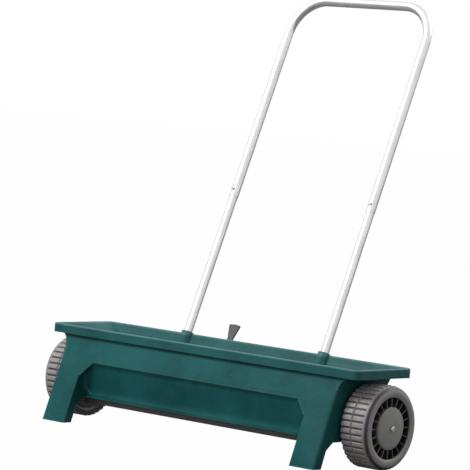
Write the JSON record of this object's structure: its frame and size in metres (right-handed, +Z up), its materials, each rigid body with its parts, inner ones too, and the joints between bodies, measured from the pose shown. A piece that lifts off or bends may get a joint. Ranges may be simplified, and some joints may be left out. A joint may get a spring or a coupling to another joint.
{
  "type": "lawn spreader",
  "caption": "Push-along drop spreader for lawn feed or seed: a long moulded hopper on two wide ribbed wheels, two front legs, a leaning U-shaped tube handle and a rate lever.",
  "frame": {"origin": "on the ground, under the middle of the whole machine's bounding box", "axes": "+X along the hopper towards the driving wheel, which is the right-hand one seen from the front with the feet; -Y the front, where the feet are; +Y the side the handle leans to and where the user walks; +Z up"},
  "size_m": [0.879, 0.5374, 0.9422],
  "materials": {
    "hopper_plastic": "satin",
    "wheel_plastic": "satin",
    "liner_plastic": "matt",
    "tube_metal": "bright drawn",
    "lever_plastic": "matt",
    "slide_plastic": "matt",
    "rotor_plastic": "matt",
    "bush_plastic": "natural",
    "black_steel": "satin black",
    "axle_steel": "drawn",
    "zinc_steel": "zinc plated",
    "cap_steel": "bright",
    "button_steel": "plated",
    "spring_steel": "blued"
  },
  "bodies": {
    "frame": {"hopper": "hopper_plastic", "front_rail": "black_steel", "rear_rail": "slide_plastic", "rail_screws": "zinc_steel", "right_axle_bush": "bush_plastic", "left_axle_bush": "bush_plastic", "axle_washers": "zinc_steel", "lever_washer": "zinc_steel", "lever_screw": "zinc_steel", "left_lower_tube": "tube_metal", "right_lower_tube": "tube_metal", "upper_handle": "tube_metal", "left_button_spring": "spring_steel", "right_button_spring": "spring_steel", "socket_screws": "zinc_steel"},
    "drive": {"right_wheel": "wheel_plastic", "right_wheel_liner": "liner_plastic", "axle": "axle_steel", "feed_rotor": "rotor_plastic", "drive_pin": "zinc_steel", "right_axle_cap": "cap_steel", "left_axle_cap": "cap_steel"},
    "left_wheel": {"left_wheel": "wheel_plastic", "left_wheel_liner": "liner_plastic"},
    "lever": {"rate_lever": "lever_plastic"},
    "slide": {"metering_slide": "slide_plastic"},
    "left_button": {"left_snap_button": "button_steel"},
    "right_button": {"right_snap_button": "button_steel"}
  },
  "joints": [
    {"name": "right_wheel_spin", "type": "hinge", "parent": "frame", "child": "drive", "pos_m": [0, -0.11572, 0.085], "axis": [1, 0, 0], "continuous": true},
    {"name": "left_wheel_spin", "type": "hinge", "parent": "frame", "child": "left_wheel", "pos_m": [-0.404, -0.11572, 0.085], "axis": [1, 0, 0], "continuous": true},
    {"name": "rate_lever_swing", "type": "hinge", "parent": "frame", "child": "lever", "pos_m": [-0.08, -0.05279, 0.11], "axis": [0, 0.9135, -0.4067], "range_deg": [0, 10.7]},
    {"name": "metering_slide_shift", "type": "slide", "parent": "frame", "child": "slide", "axis": [1, 0, 0], "range_m": [-0.009, 0]},
    {"name": "left_button_press", "type": "slide", "parent": "frame", "child": "left_button", "axis": [0, 0.9304, -0.3665], "range_m": [0, 0.0036], "stiffness_N_per_m": 1500, "springref_m": -0.001, "deforming": ["left_button_spring"]},
    {"name": "right_button_press", "type": "slide", "parent": "frame", "child": "right_button", "axis": [0, 0.9304, -0.3665], "range_m": [0, 0.0036], "stiffness_N_per_m": 1500, "springref_m": -0.001, "deforming": ["right_button_spring"]}
  ],
  "couplings": [
    {"joint": "metering_slide_shift", "follows": "rate_lever_swing", "m_per_rad": -0.048164}
  ]
}
